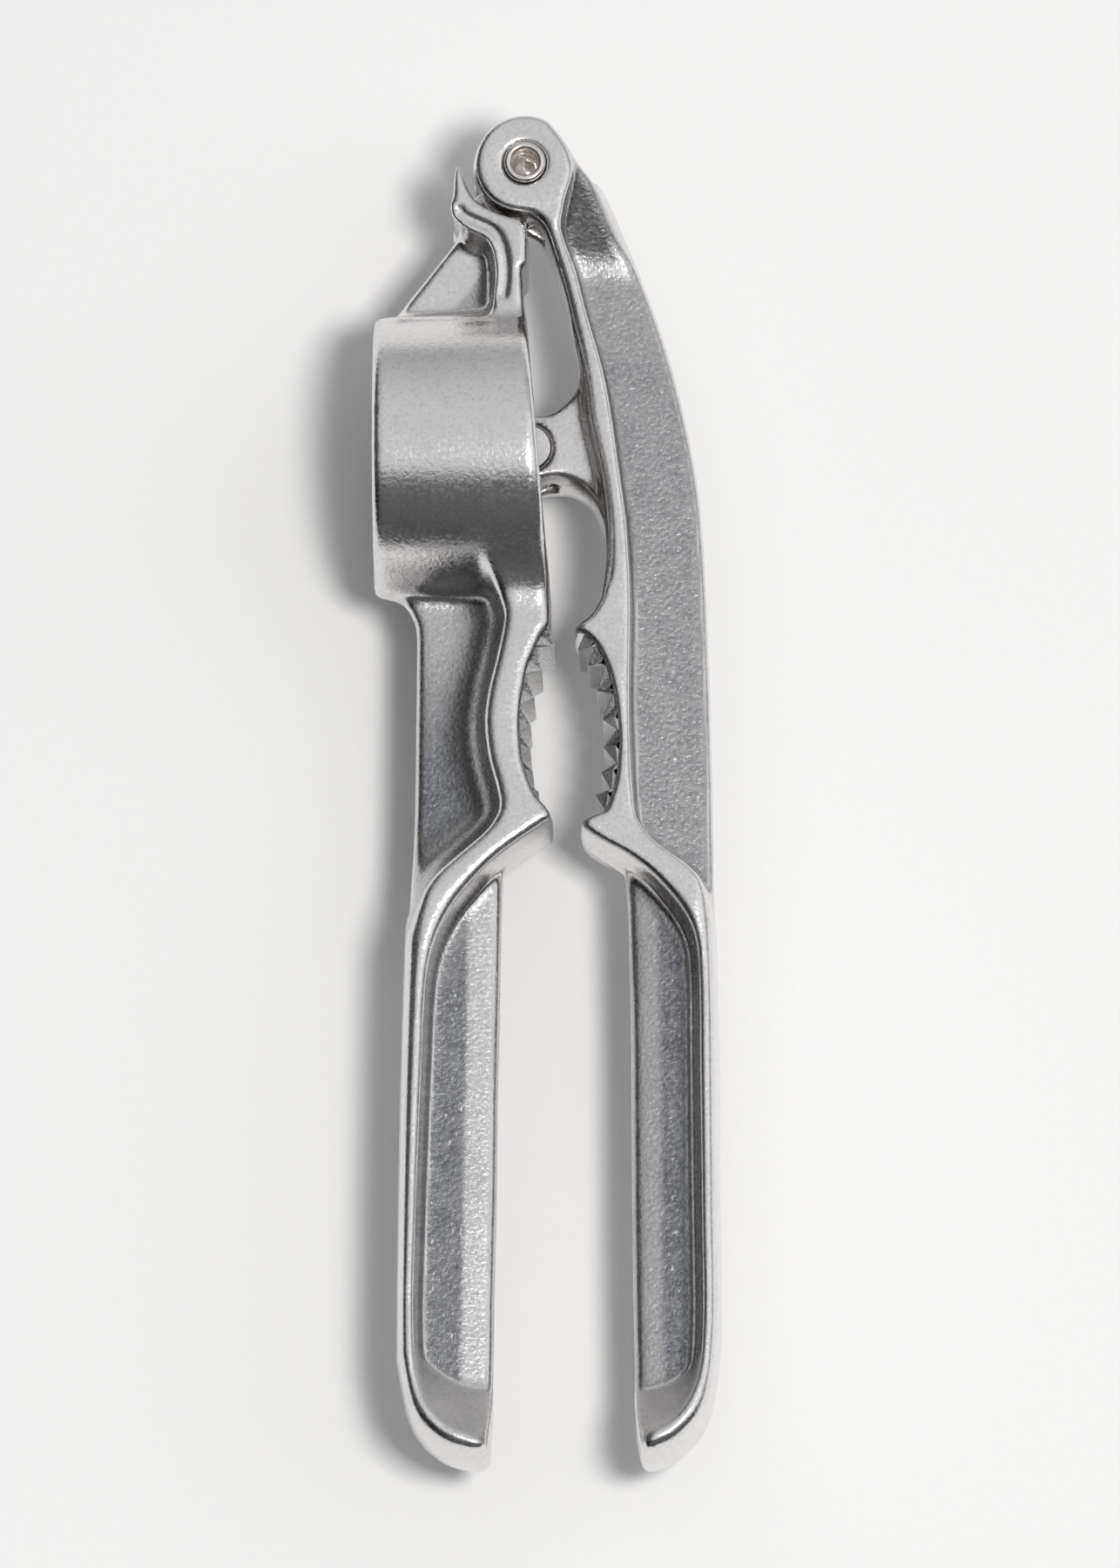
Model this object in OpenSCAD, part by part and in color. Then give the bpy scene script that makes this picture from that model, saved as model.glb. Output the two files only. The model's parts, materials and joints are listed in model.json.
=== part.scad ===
// Garlic press with a nutcracker: two cast handles on a rivet, a perforated cup and a swivelling plunger.
// Outlines are drawn in the hinge plane: the hinge axis is at (0, 0), the grips run along -Y, and the
// cup handle is on the -X side. Everything is symmetric about the plane z = 0 until place() lifts it.

/* [Overall] */
// Length from the top of the hinge eye to the ends of the grips
overall_length = 180; // [176:1:184]
// Width of the cast bands, along the hinge axis
band_width = 18; // [16:0.5:20]
// Thickness of the flat webs beside the bands
web_thickness = 2.1; // [1.8:0.1:4]
// Distance from the hinge axis to the outside of the cup floor, across the press
cup_floor_x = 20; // [19.5:0.5:21]
// Distance from the hinge axis to the outside of the plunger handle's grip
grip_outer_x = 25.7; // [25.7:0.1:26.5]

/* [Hinge] */
// Outer radius of the two hinge ears
eye_radius = 6.4; // [6:0.1:6.8]
// Gap between the two hinge ears
ear_gap = 7; // [6:0.5:8]
// Radius of the rivet's shank
rivet_radius = 2.4; // [2:0.1:2.8]
// Radial clearance of the shank and of the pin in what turns on them
running_clearance = 0.05; // [0.02:0.01:0.1]
// Radius of the rivet's clinched rim
rim_radius = 2.8; // [2.7:0.1:3]
// Height of the clinched rim over the ear
rim_height = 0.7; // [0.5:0.1:1]
// Radius of the rivet's domed head
head_radius = 4.4; // [4:0.1:4.8]
// Height of the domed head
head_height = 1.8; // [1.4:0.1:2.2]

/* [Cup] */
// Distance from the hinge axis down to the cup's axis
cup_drop = 38; // [37.5:0.25:38.5]
// Outer radius of the cup at its mouth
cup_radius = 19.6; // [19:0.1:20]
// Draft of the cup's side, as the loss of radius from mouth to floor
cup_draft = 1.1; // [0.5:0.1:1.5]
// Thickness of the cup's wall and floor
cup_wall = 2.1; // [1.8:0.1:2.4]
// Tilt of the cup's mouth, in degrees
mouth_tilt = 4.75; // [3:0.25:6]
// Radius of the holes in the cup floor
hole_radius = 1; // [0.7:0.1:1.2]
// Distance between neighbouring holes
hole_pitch = 3.6; // [3.2:0.1:4.5]
// Rings of holes round the middle one
hole_rings = 4; // [2:1:4]

/* [Plunger] */
// Radius of the plunger's foot
foot_radius = 15.7; // [15:0.1:15.9]
// Thickness of the foot
foot_thickness = 3; // [2:0.25:4]
// Distance from the plunger pin to the face of the foot
foot_reach = 16.6; // [15.5:0.1:16.7]
// Radius of the plunger pin
pin_radius = 3; // [2.5:0.25:3.25]
// Width of the bracket that holds the pin, along the hinge axis
bracket_width = 13; // [12:0.5:15]
// Gap between the bracket's two ears
bracket_gap = 5.2; // [4:0.2:6]
// Side clearance of the plunger's knuckle and of the hinge lug in their gaps
side_clearance = 0.1; // [0.05:0.05:0.2]

/* [Nutcracker] */
// Number of teeth on each jaw
tooth_count = 7; // [5:1:9]

/* [Hidden] */
$fn = 64;
hinge_x = (cup_floor_x - grip_outer_x) / 2;
hinge_y = overall_length / 2 - eye_radius;
grip_end = overall_length - eye_radius; // distance from the hinge axis to the grips' ends
pin_pos = [0.4, -cup_drop];
cup_mouth_x = 4; // where the cup's cone ends before its mouth is cut
cup_length = cup_floor_x + cup_mouth_x;
floor_radius = cup_radius - cup_draft;
mouth_pos = [0.1, -18.3]; // the upper lip of the tilted mouth
lug_thickness = ear_gap - 2 * side_clearance;
knuckle_thickness = bracket_gap - 2 * side_clearance;
knuckle_radius = pin_radius + 1.4;
bracket_radius = pin_radius + 1.9;
knuckle_recess = 0.8; // gap round the knuckle between the bracket's ears
slot_radius = 8.8; // the slot between the ears ends this far from the hinge axis
rim_seat_radius = 3.1; // shallow seat of the clinched rim
rim_seat_depth = 0.5;
rivet_bore_radius = 1.8; // hollow end of the rivet
rivet_bore_depth = 7;
lug_radius = eye_radius - 0.3;
cut_extra = 2; // how much longer a cutting body is than what it cuts
cast_grey = [0.78, 0.77, 0.75];
pin_grey = [0.70, 0.70, 0.70];
nickel = [0.80, 0.76, 0.68];

// A point of the smooth curve through the points p, at t from 0 to 1
function curve_at(p, t) =
    let (n = len(p) - 1, i = min(floor(t * n), n - 1), u = t * n - i,
         a = p[max(i - 1, 0)], b = p[i], c = p[i + 1], d = p[min(i + 2, n)])
    0.5 * (2 * b + (c - a) * u + (2 * a - 5 * b + 4 * c - d) * u * u + (3 * b - a - 3 * c + d) * u * u * u);

// The smooth curve through the points p, with a few steps between each two
function curve(p, steps = 4) =
    let (n = (len(p) - 1) * steps) [for (i = [0 : n]) curve_at(p, i / n)];

// A row of teeth between the curve of their roots and the curve of their tips
function teeth(roots, tips, count) =
    [for (i = [0 : 2 * count]) curve_at(i % 2 == 0 ? roots : tips, i / (2 * count))];

// The same points from last to first
function reversed(p) = [for (i = [len(p) - 1 : -1 : 0]) p[i]];

// A plan outline as a solid of this width, symmetric about the middle plane
module slab(points, width) {
    translate([0, 0, -width / 2]) linear_extrude(height = width) polygon(points);
}

// A cylinder along the hinge direction, symmetric about the middle plane
module disc(radius, width, at = [0, 0]) {
    translate([at[0], at[1], -width / 2]) cylinder(r = radius, h = width);
}

// From the hinge plane to the part's frame: the cup rests on z = 0 and the box is centred on the origin
module place() {
    translate([hinge_x, hinge_y, cup_radius]) children();
}

// ---- cup handle ----

// Crescent seat round the hinge eye, and the rib that runs down from it to the cup
module neck_band() {
    seat = curve([[-8.3, -2.1], [-7.2, -4.3], [-5.2, -6.1], [-2.6, -7.3], [-0.6, -8.1], [0.1, -9.6]]);
    back = curve([[-4, -21], [-3.5, -15.5], [-3.8, -12], [-5.6, -9.9],
                  [-9.3, -7.6], [-9.5, -5.6], [-8.9, -3.2]]);
    slab(concat(seat, [[0.1, -21]], back), band_width);
}

// Jaw band, the diagonal below it and the outer flange of the grip, as one full-width band
module cup_handle_band() {
    jaw_top = curve([[3.3, -57], [3.1, -61], [2.1, -63.4]]);
    jaw = teeth(
        [[1.6, -64.4], [-0.2, -69], [-1, -74], [-0.9, -79], [0.4, -84]],
        [[2.9, -64.6], [1.4, -69.2], [0.5, -74.1], [0.4, -79.2], [1.7, -84.2]], tooth_count);
    horn = curve([[2.6, -86.6], [3.3, -88], [1.9, -89.4], [-3.6, -93.4], [-9, -99.4], [-11.7, -104.4]]);
    flange_in = curve([[-13.2, -112], [-14.3, -141], [-14.6, -158], [-13.2, -166.4], [-6.2, -171.2]]);
    end = curve([[-4.2, -172.2], [-6, 0.3 - grip_end], [-10.6, -172.4], [-15.4, -168.6], [-17.1, -159]]);
    flange_out = curve([[-16.9, -141], [-16.4, -122], [-15.6, -101.6],
                        [-13.6, -98.6], [-8.2, -92.8], [-3.9, -88.4]]);
    back = curve([[-3.5, -85.4], [-5.1, -79], [-5.2, -73], [-3.6, -65.8], [-2.8, -61.2], [-3.1, -57]]);
    slab(concat(jaw_top, jaw, horn, flange_in, end, flange_out, back), band_width);
}

// Thin web of the cup handle: the triangle under the seat, and the web beside the jaw and the grip
module cup_handle_web() {
    slab([[-9.2, -5.8], [-16.6, -18.6], [-16.6, -24], [-1, -24], [-1, -9.4], [-6, -6.6]], web_thickness);
    jaw_edge = curve([[-16, -52], [-14.6, -60], [-14.6, -82], [-15, -98.3], [-15.8, -101], [-16.5, -123]]);
    grip_edge = curve([[-4.6, -171], [-4, -157], [-2.9, -94], [-2, -88]]);
    slab(concat(jaw_edge, [[-16, -150], [-13.6, -168]], grip_edge, [[-3, -52]]), web_thickness);
}

// Lug between the two hinge ears, joined to the seat below it
module hinge_lug() {
    disc(lug_radius, lug_thickness);
    slab([[-5.4, -2], [-8.2, -5.4], [-1, -9.4], [-0.6, -5]], lug_thickness);
}

// Cup with a drafted side, cut by the tilted plane of its mouth
module cup_shell() {
    difference() {
        cup_cone(floor_radius, cup_radius, 0, cup_length);
        tilted_mouth();
    }
}

// A cone along the cup's axis: radii at its floor and mouth ends, measured from the outside of the floor
module cup_cone(r_floor, r_mouth, from, to) {
    translate([from - cup_floor_x, -cup_drop, 0]) rotate([0, 90, 0])
        cylinder(h = to - from, r1 = r_floor, r2 = r_mouth);
}

// Everything on the far side of the cup's mouth
module tilted_mouth() {
    half = 30;
    above = 20;
    translate([mouth_pos[0], mouth_pos[1], -half]) rotate([0, 0, mouth_tilt])
        translate([0, -2 * half, 0]) cube([half, 2 * half + above, 2 * half]);
}

// Positions of the floor's holes, on a hexagonal grid
function hole_positions() = [
    for (i = [-hole_rings : hole_rings])
        for (j = [max(-hole_rings, -hole_rings - i) : min(hole_rings, hole_rings - i)])
            hole_pitch * [i + j / 2, j * sqrt(3) / 2]
];

module floor_holes() {
    for (p = hole_positions())
        translate([-cup_floor_x - 1, p[0] - cup_drop, p[1]]) rotate([0, 90, 0])
            cylinder(r = hole_radius, h = cup_wall + cut_extra, $fn = 24);
}

module cup_handle() {
    color(cast_grey) place() difference() {
        union() {
            neck_band();
            cup_handle_web();
            hinge_lug();
            cup_handle_band();
            cup_shell();
        }
        cup_cone(floor_radius - cup_wall, cup_radius - cup_wall, cup_wall, cup_length + 1);
        floor_holes();
        disc(rivet_radius + running_clearance, band_width + cut_extra);
    }
}

// ---- plunger handle ----

// Arm from the eye, toothed jaw, diagonal and outer grip flange, as one full-width band
module plunger_handle_band() {
    arm_in = curve([[-1, -5.6], [1.8, -6.9], [3.6, -9.8], [5.3, -16], [7.6, -26.6], [9.8, -40], [11, -52]]);
    jaw_top = curve([[10.9, -57.6], [9.8, -61], [6.8, -63.4]]);
    jaw = teeth(
        [[8, -63.9], [10.3, -69], [11.5, -75], [11.6, -81], [10.4, -87]],
        [[6.9, -65], [9, -69.8], [10, -75.2], [10, -80.8], [8.8, -86]], tooth_count);
    horn = curve([[8.4, -87.9], [6.9, -89], [8.6, -90.4], [13.6, -93.2], [18.9, -98.1], [22.2, -103.6]]);
    flange_in = curve([[23, -112], [23.3, -141], [23.3, -158], [21.8, -166.6], [16, -171.4]]);
    end = curve([[14.6, -172.6], [16, -grip_end], [20.2, -172.6], [24, -168.6], [grip_outer_x, -159]]);
    flange_out = curve([[25.6, -141], [25.4, -112], [25.1, -100.4],
                        [22.6, -95.8], [18, -92.4], [15.2, -88.4]]);
    arm_out = curve([[13.8, -80], [13.8, -60], [12.9, -45], [10.9, -31], [7.4, -17.6], [5, -9.6], [4.6, -5]]);
    slab(concat(arm_in, jaw_top, jaw, horn, flange_in, end, flange_out, arm_out), band_width);
}

// Wide web outside the arm and the jaw, and inside the grip
module plunger_handle_web() {
    arm_edge = curve([[4.6, 4.8], [7.4, 1.2], [10.2, -2.6], [14.4, -11.4], [17.9, -20.8], [21.9, -36.1],
                      [23.9, -53.7], [24.7, -76], [25.1, -100]]);
    grip_edge = curve([[15, -171.5], [14.1, -157], [13.6, -109], [13.6, -92], [12.6, -80]]);
    inside = [[10, -42], [5, -12], [1, -6]];
    slab(concat([[0, 0]], arm_edge, [[25, -150], [22, -168]], grip_edge, inside), web_thickness);
}

// Bracket that reaches from the arm into the cup's mouth and holds the plunger pin
module pin_bracket() {
    disc(bracket_radius, bracket_width, pin_pos);
    top = curve([[0.4, 4.9], [3, 4.9], [5.6, 6.6], [8.6, 9.6]]);
    bottom = curve([[11.2, -11], [8.2, -6], [5.4, -4.2], [3, -4.4], [0.4, -4.9]]);
    translate([0, -cup_drop, 0]) slab(concat(top, bottom), bracket_width);
}

module plunger_handle() {
    color(cast_grey) place() difference() {
        union() {
            disc(eye_radius, band_width);
            plunger_handle_band();
            plunger_handle_web();
            pin_bracket();
        }
        disc(slot_radius, ear_gap);
        disc(knuckle_radius + knuckle_recess, bracket_gap, pin_pos);
        translate([0, 0, (band_width - rim_seat_depth) / 2 + cut_extra / 2])
            disc(rim_seat_radius, rim_seat_depth + cut_extra);
        disc(rivet_radius, band_width + cut_extra);
        disc(pin_radius, bracket_width + cut_extra, pin_pos);
    }
}

// ---- plunger, rivet and pin ----

// Profile of the plunger turned about its own axis: the domed foot and its neck
module foot_profile() {
    edge = 0.4;
    neck_top = 9.5;
    neck = [[6, foot_thickness + 1.2], [4.4, 6.4], [3.6, neck_top], [0, neck_top]];
    polygon(concat([[0, 0], [foot_radius - edge, 0], [foot_radius, edge],
                    [foot_radius, foot_thickness - edge], [foot_radius - edge, foot_thickness]], neck));
}

module plunger() {
    rib_x = foot_thickness - foot_reach; // the rib of the neck stands on the back of the foot
    rib_reach = 11;
    waist = [-7.6, 3.6];
    color(cast_grey) place() translate([pin_pos[0], pin_pos[1], 0]) difference() {
        union() {
            translate([-foot_reach, 0, 0]) rotate([0, 90, 0]) rotate_extrude() foot_profile();
            disc(knuckle_radius, knuckle_thickness);
            slab([[rib_x, rib_reach], waist, [0, knuckle_radius],
                  [0, -knuckle_radius], [waist[0], -waist[1]], [rib_x, -rib_reach]], knuckle_thickness);
        }
        disc(pin_radius + running_clearance, bracket_width + cut_extra);
    }
}

// Semi-tubular rivet: domed head at the back, hollow end rolled over the front ear
module hinge_rivet() {
    front = band_width / 2;
    dome_radius = (head_radius * head_radius + head_height * head_height) / (2 * head_height);
    color(nickel) place() difference() {
        union() {
            translate([0, 0, -front]) cylinder(r = rivet_radius, h = band_width);
            translate([0, 0, front - rim_seat_depth])
                cylinder(r = rim_radius, h = rim_seat_depth + rim_height);
            intersection() {
                translate([0, 0, -front - head_height]) cylinder(r = head_radius, h = head_height);
                translate([0, 0, -front - head_height + dome_radius]) sphere(r = dome_radius);
            }
        }
        translate([0, 0, front - rivet_bore_depth]) cylinder(r = rivet_bore_radius, h = 2 * rivet_bore_depth);
        translate([0, 0, front - rivet_bore_depth - 1]) cylinder(r1 = 0, r2 = rivet_bore_radius, h = 1.01);
    }
}

module plunger_pin() {
    color(pin_grey) place() disc(pin_radius, bracket_width, pin_pos);
}

cup_handle();
plunger_handle();
plunger();
hinge_rivet();
plunger_pin();
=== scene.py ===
"""Garlic press: two cast-aluminium handles on a rivet, a perforated cup, a plunger and nutcracker jaws.

The castings are signed-distance fields, in millimetres from the hinge axis and the middle plane, meshed by a
surface net. That gives them the draft, the crowned edges and the fillets of real die castings.
"""
import json
import math

import bmesh
import bpy
import numpy as np
from mathutils import Matrix, Vector


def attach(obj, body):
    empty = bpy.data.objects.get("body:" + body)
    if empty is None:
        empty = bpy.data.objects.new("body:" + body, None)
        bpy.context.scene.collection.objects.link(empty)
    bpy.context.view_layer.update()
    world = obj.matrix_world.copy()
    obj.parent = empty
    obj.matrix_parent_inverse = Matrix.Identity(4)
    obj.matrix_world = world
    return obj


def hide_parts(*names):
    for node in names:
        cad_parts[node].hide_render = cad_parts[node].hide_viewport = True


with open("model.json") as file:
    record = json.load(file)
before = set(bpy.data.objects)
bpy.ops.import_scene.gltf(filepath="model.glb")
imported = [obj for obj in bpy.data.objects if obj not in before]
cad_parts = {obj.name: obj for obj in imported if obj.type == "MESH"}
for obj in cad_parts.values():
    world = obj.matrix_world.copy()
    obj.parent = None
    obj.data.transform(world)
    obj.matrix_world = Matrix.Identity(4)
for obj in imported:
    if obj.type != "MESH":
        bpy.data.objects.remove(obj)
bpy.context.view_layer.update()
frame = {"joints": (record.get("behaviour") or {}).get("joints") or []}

MM = 0.001
STEP = 0.44  # grid step of the two handles' fields, in mm
PLUNGER_STEP = 0.45
JOINTS = {j["name"]: Vector(j["pos_m"]) for j in frame["joints"]}
HINGE = JOINTS["handle_hinge"]  # origin of the millimetre drawings below
PIN = np.array((JOINTS["plunger_pivot"] - HINGE) / MM)[:2]

HALF_BAND = 9.0  # half the width of the full-width bands, along the hinge axis
EYE_RADIUS = 6.4
SLOT_RADIUS, EAR_GAP = 8.8, 7.0
SEAT_RADIUS = 7.25  # of the space in the neck that the eye turns in
LUG_THICKNESS = 6.8
SHANK_RADIUS = 2.4
RIM_SEAT_RADIUS, RIM_SEAT_DEPTH = 2.9, 0.5
CUP_AXIS_Y = -38.0
CUP_FLOOR_X = -20.0
CUP_RADIUS, CUP_GROWTH = 18.5, 1.1 / 24  # outside, at the cup's floor, and its gain per mm toward the mouth
CUP_WALL = 2.1
MOUTH_COSINE, MOUTH_SINE = 0.9966, 0.0828  # of the mouth's tilt, 4.75 degrees
HOLE_RADIUS, HOLE_PITCH, HOLE_RINGS = 1.0, 3.6, 4
PIN_RADIUS = 3.0
BRACKET_HALF, BRACKET_GAP = 6.5, 5.2
KNUCKLE_SPACE_RADIUS = 5.2
GRIP_END_Y = -171.8
SCOOP_LENGTH = 8.4  # of the slope that closes a grip's pocket
CLEARANCE = 0.05  # between a bore and what turns in it, and under the rivet's head
TOOTH_COUNT = 7
TOOTH_BACK_DEPTH, ROOT_DEPTH, TIP_DEPTH = 8.4, 8.1, 6.9  # half the length of a tooth's back, roots and tip


# ---- outlines and fields ----

def curve_at(points, t):
    """The point at t, from 0 to 1, of the smooth curve through the points."""
    p = np.asarray(points, float)
    n = len(p) - 1
    i = min(int(t * n), n - 1)
    u = t * n - i
    a, b, c, d = p[max(i - 1, 0)], p[i], p[i + 1], p[min(i + 2, n)]
    return 0.5 * (2 * b + (c - a) * u + (2 * a - 5 * b + 4 * c - d) * u**2 + (3 * b - a - 3 * c + d) * u**3)


def curve(points, steps=6):
    """The smooth curve through the points, as a list of points."""
    n = (len(points) - 1) * steps
    return [curve_at(points, i / n) for i in range(n + 1)]


def out_to(far_x, points):
    """The points, closed by a straight side at far_x."""
    return [*points, (far_x, points[-1][1]), (far_x, points[0][1])]


def teeth(roots, tips, count):
    """A sawtooth row between the curve of its roots and the curve of its tips."""
    return [curve_at(tips if i % 2 else roots, i / (2 * count)) for i in range(2 * count + 1)]


def smooth_min(a, b, k):
    """The union of two fields, with a fillet of about k."""
    h = np.clip(0.5 + 0.5 * (b - a) / k, 0, 1)
    return b + (a - b) * h - k * h * (1 - h)


def smooth_max(a, b, k):
    """What two fields share, with its edge rounded by about k."""
    return -smooth_min(-a, -b, k)


def ramp(value, low, high):
    """0 below low, 1 above high, and smooth between them."""
    t = np.clip((value - low) / (high - low), 0, 1)
    return t * t * (3 - 2 * t)


class Block:
    """A block of space, in mm, with the distances of shapes at its grid points."""

    def __init__(self, low, high, step):
        self.low, self.step = np.array(low, float), step
        axes = [np.arange(a, b + step, step, dtype=np.float32) for a, b in zip(low, high)]
        self.x, self.y, self.z = np.meshgrid(*axes, indexing="ij", sparse=True)
        self.depth = np.abs(self.z)  # distance from the middle plane

    def outline(self, points):
        """Distance from a closed plan outline, negative inside it."""
        x, y = self.x[:, :, 0], self.y[:, :, 0]
        nearest = np.full(np.broadcast(x, y).shape, 1e9, np.float32)
        inside = np.zeros(nearest.shape, bool)
        for (ax, ay), (bx, by) in zip(points, [*points[1:], points[0]]):
            dx, dy = bx - ax, by - ay
            length2 = dx * dx + dy * dy
            if length2 < 1e-9:
                continue
            t = np.clip(((x - ax) * dx + (y - ay) * dy) / length2, 0, 1)
            nearest = np.minimum(nearest, (x - ax - t * dx) ** 2 + (y - ay - t * dy) ** 2)
            if dy:
                crosses = ((y >= ay) != (y >= by)) & (x < ax + (y - ay) * dx / dy)
                inside ^= crosses
        return np.where(inside, -1, 1)[:, :, None] * np.sqrt(nearest)[:, :, None]

    def path(self, points):
        """Distance in plan from an open line."""
        x, y = self.x[:, :, 0], self.y[:, :, 0]
        nearest = np.full(np.broadcast(x, y).shape, 1e9, np.float32)
        for (ax, ay), (bx, by) in zip(points, points[1:]):
            dx, dy = bx - ax, by - ay
            t = np.clip(((x - ax) * dx + (y - ay) * dy) / max(dx * dx + dy * dy, 1e-9), 0, 1)
            nearest = np.minimum(nearest, (x - ax - t * dx) ** 2 + (y - ay - t * dy) ** 2)
        return np.sqrt(nearest)[:, :, None]

    def disc(self, radius, at=(0, 0)):
        """Distance from a cylinder along the hinge direction, without ends."""
        return np.hypot(self.x - at[0], self.y - at[1]) - radius

    def cone(self, radius, growth):
        """Distance from a cone along the cup's axis: its radius at the cup floor, and its growth per mm."""
        return np.hypot(self.y - CUP_AXIS_Y, self.z) - radius - growth * (self.x - CUP_FLOOR_X)


def sample(values, places):
    """The field at places given in grid steps, between its grid points."""
    top = np.array(values.shape) - 2
    base = np.clip(places.astype(int), 0, top)
    f = places - base
    found = np.zeros(len(places))
    for i in (0, 1):
        for j in (0, 1):
            for k in (0, 1):
                weight = np.where(i, f[:, 0], 1 - f[:, 0]) * np.where(j, f[:, 1], 1 - f[:, 1])
                weight *= np.where(k, f[:, 2], 1 - f[:, 2])
                found += weight * values[base[:, 0] + i, base[:, 1] + j, base[:, 2] + k]
    return found


def slope(values, places, reach=0.5):
    """The field's gradient at these places, in units per grid step."""
    out = np.zeros_like(places)
    for axis in range(3):
        move = np.zeros(3)
        move[axis] = reach
        out[:, axis] = (sample(values, places + move) - sample(values, places - move)) / (2 * reach)
    return out


def surface_net(values):
    """Quads on the zero surface of a field: one vertex for each cell that the surface crosses."""
    inside = values < 0
    corners = [(i, j, k) for i in (0, 1) for j in (0, 1) for k in (0, 1)]
    nx, ny, nz = (n - 1 for n in values.shape)
    count = sum(inside[i:i + nx, j:j + ny, k:k + nz].astype(np.int8) for i, j, k in corners)
    cells = np.argwhere((count > 0) & (count < 8))
    index = np.full((nx, ny, nz), -1, np.int64)
    index[tuple(cells.T)] = np.arange(len(cells))
    at = {c: values[cells[:, 0] + c[0], cells[:, 1] + c[1], cells[:, 2] + c[2]] for c in corners}
    total, hits = np.zeros((len(cells), 3)), np.zeros(len(cells))
    for a in corners:
        for axis in range(3):
            if a[axis]:
                continue
            b = tuple(v + (n == axis) for n, v in enumerate(a))
            crossed = (at[a] < 0) != (at[b] < 0)
            t = at[a] / np.where(crossed, at[a] - at[b], 1)
            point = np.tile(np.array(a, float), (len(cells), 1))
            point[:, axis] += t
            total[crossed] += point[crossed]
            hits[crossed] += 1
    places = cells + total / hits[:, None]
    quads = []
    for axis in range(3):
        u, v = (axis + 1) % 3, (axis + 2) % 3
        first = [slice(None)] * 3
        second = [slice(None)] * 3
        first[axis], second[axis] = slice(None, -1), slice(1, None)
        change = inside[tuple(first)] != inside[tuple(second)]
        edge = np.argwhere(change)
        edge = edge[(edge[:, u] > 0) & (edge[:, v] > 0) & (edge[:, u] < values.shape[u] - 1)
                    & (edge[:, v] < values.shape[v] - 1)]
        ring = []
        for du, dv in ((0, 0), (-1, 0), (-1, -1), (0, -1)):
            cell = edge.copy()
            cell[:, u] += du
            cell[:, v] += dv
            ring.append(index[tuple(cell.T)])
        quad = np.stack(ring, 1)
        leaves = inside[tuple(edge.T)]
        quad[~leaves] = quad[~leaves][:, ::-1]
        quads.append(quad)
    return places, np.concatenate(quads)


def soften(values):
    """The field averaged with its nearest neighbours, which rounds every edge by about a grid step."""
    for axis in range(3):
        v = np.moveaxis(values, axis, 0)
        v[1:-1] = 0.25 * v[:-2] + 0.5 * v[1:-1] + 0.25 * v[2:]
    return values


def relax(values, places, quads, rounds=4):
    """Evens out the net's vertices and puts them back on the zero surface."""
    pairs = np.concatenate([quads[:, [0, 1]], quads[:, [1, 2]], quads[:, [2, 3]], quads[:, [3, 0]]])
    pairs = np.concatenate([pairs, pairs[:, ::-1]])
    degree = np.bincount(pairs[:, 0], minlength=len(places))[:, None]
    for _ in range(rounds):
        total = np.stack([np.bincount(pairs[:, 0], places[pairs[:, 1], n], len(places)) for n in range(3)], 1)
        places = 0.5 * places + 0.5 * total / degree
        for _ in range(2):
            grad = slope(values, places)
            size2 = np.maximum((grad**2).sum(1), 0.05)
            places = places - grad * np.clip(sample(values, places) / size2, -1, 1)[:, None]
    return places


def solid(name, block, values, worked_and_painted_light, body, node, material, tumbled=1.0):
    """A piece made from a field. Its worked field is 1 where the metal is ground or rubbed bright, 0 where it
    is as cast and 2 where it is bright but matt; slopes are bright too, as far as tumbling reached them. In
    places
    the field also holds painted light: a lighter colour painted where light falls or a highlight shows."""
    values = soften(np.broadcast_to(values, np.broadcast(block.x, block.y, block.z).shape).astype(np.float32))
    places, quads = surface_net(values)
    places = relax(values, places, quads)
    mesh = bpy.data.meshes.new(name)
    metres = (places * block.step + block.low) * MM + np.array(HINGE)
    mesh.vertices.add(len(places))
    mesh.vertices.foreach_set("co", metres.astype(np.float32).ravel())
    mesh.loops.add(quads.size)
    mesh.loops.foreach_set("vertex_index", quads.astype(np.int32).ravel())
    mesh.polygons.add(len(quads))
    mesh.polygons.foreach_set("loop_start", np.arange(0, quads.size, 4, dtype=np.int32))
    mesh.update(calc_edges=True)
    mesh.shade_smooth()
    grad = slope(values, places)
    slant = ramp(1 - np.abs(grad[:, 2]) / np.maximum(np.linalg.norm(grad, axis=1), 1e-6), 0.015, 0.10)
    slant = slant * sample(np.broadcast_to(tumbled, values.shape), places)
    worked_and_painted_light = np.maximum(sample(np.broadcast_to(worked_and_painted_light, values.shape), places), slant)
    mesh.attributes.new("worked_and_painted_light", "FLOAT", "POINT").data.foreach_set("value", worked_and_painted_light.astype(np.float32))
    return piece(name, mesh, body, node, material)


def piece(name, mesh, body, node, material):
    """Puts a mesh in the scene as a piece that stands for a CAD node."""
    ob = bpy.data.objects.new(name, mesh)
    bpy.context.scene.collection.objects.link(ob)
    mesh.materials.append(material)
    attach(ob, body)
    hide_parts(node)
    return ob


def lathe(name, profile, origin, body, node, material):
    """A piece turned about the hinge direction, from (radius, height) points in mm, bottom to top."""
    steps = LATHE_STEPS
    turns = [math.tau * i / steps for i in range(steps)]
    rings = [[(r * math.cos(a), r * math.sin(a), h) for a in turns] for r, h in profile]
    points = [origin + Vector(p) * MM for ring in rings for p in ring]
    faces = []
    for ring in range(len(profile) - 1):
        for i in range(steps):
            a, b = ring * steps + i, ring * steps + (i + 1) % steps
            faces.append((a, b, b + steps, a + steps))
    faces.append(tuple(reversed(range(steps))))
    faces.append(tuple(range(len(points) - steps, len(points))))
    mesh = bpy.data.meshes.new(name)
    mesh.from_pydata(points, [], faces)
    mesh.shade_smooth()
    mesh.set_sharp_from_angle(angle=math.radians(32))  # the arcs' steps stay smooth
    return piece(name, mesh, body, node, material)


# ---- materials ----

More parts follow.
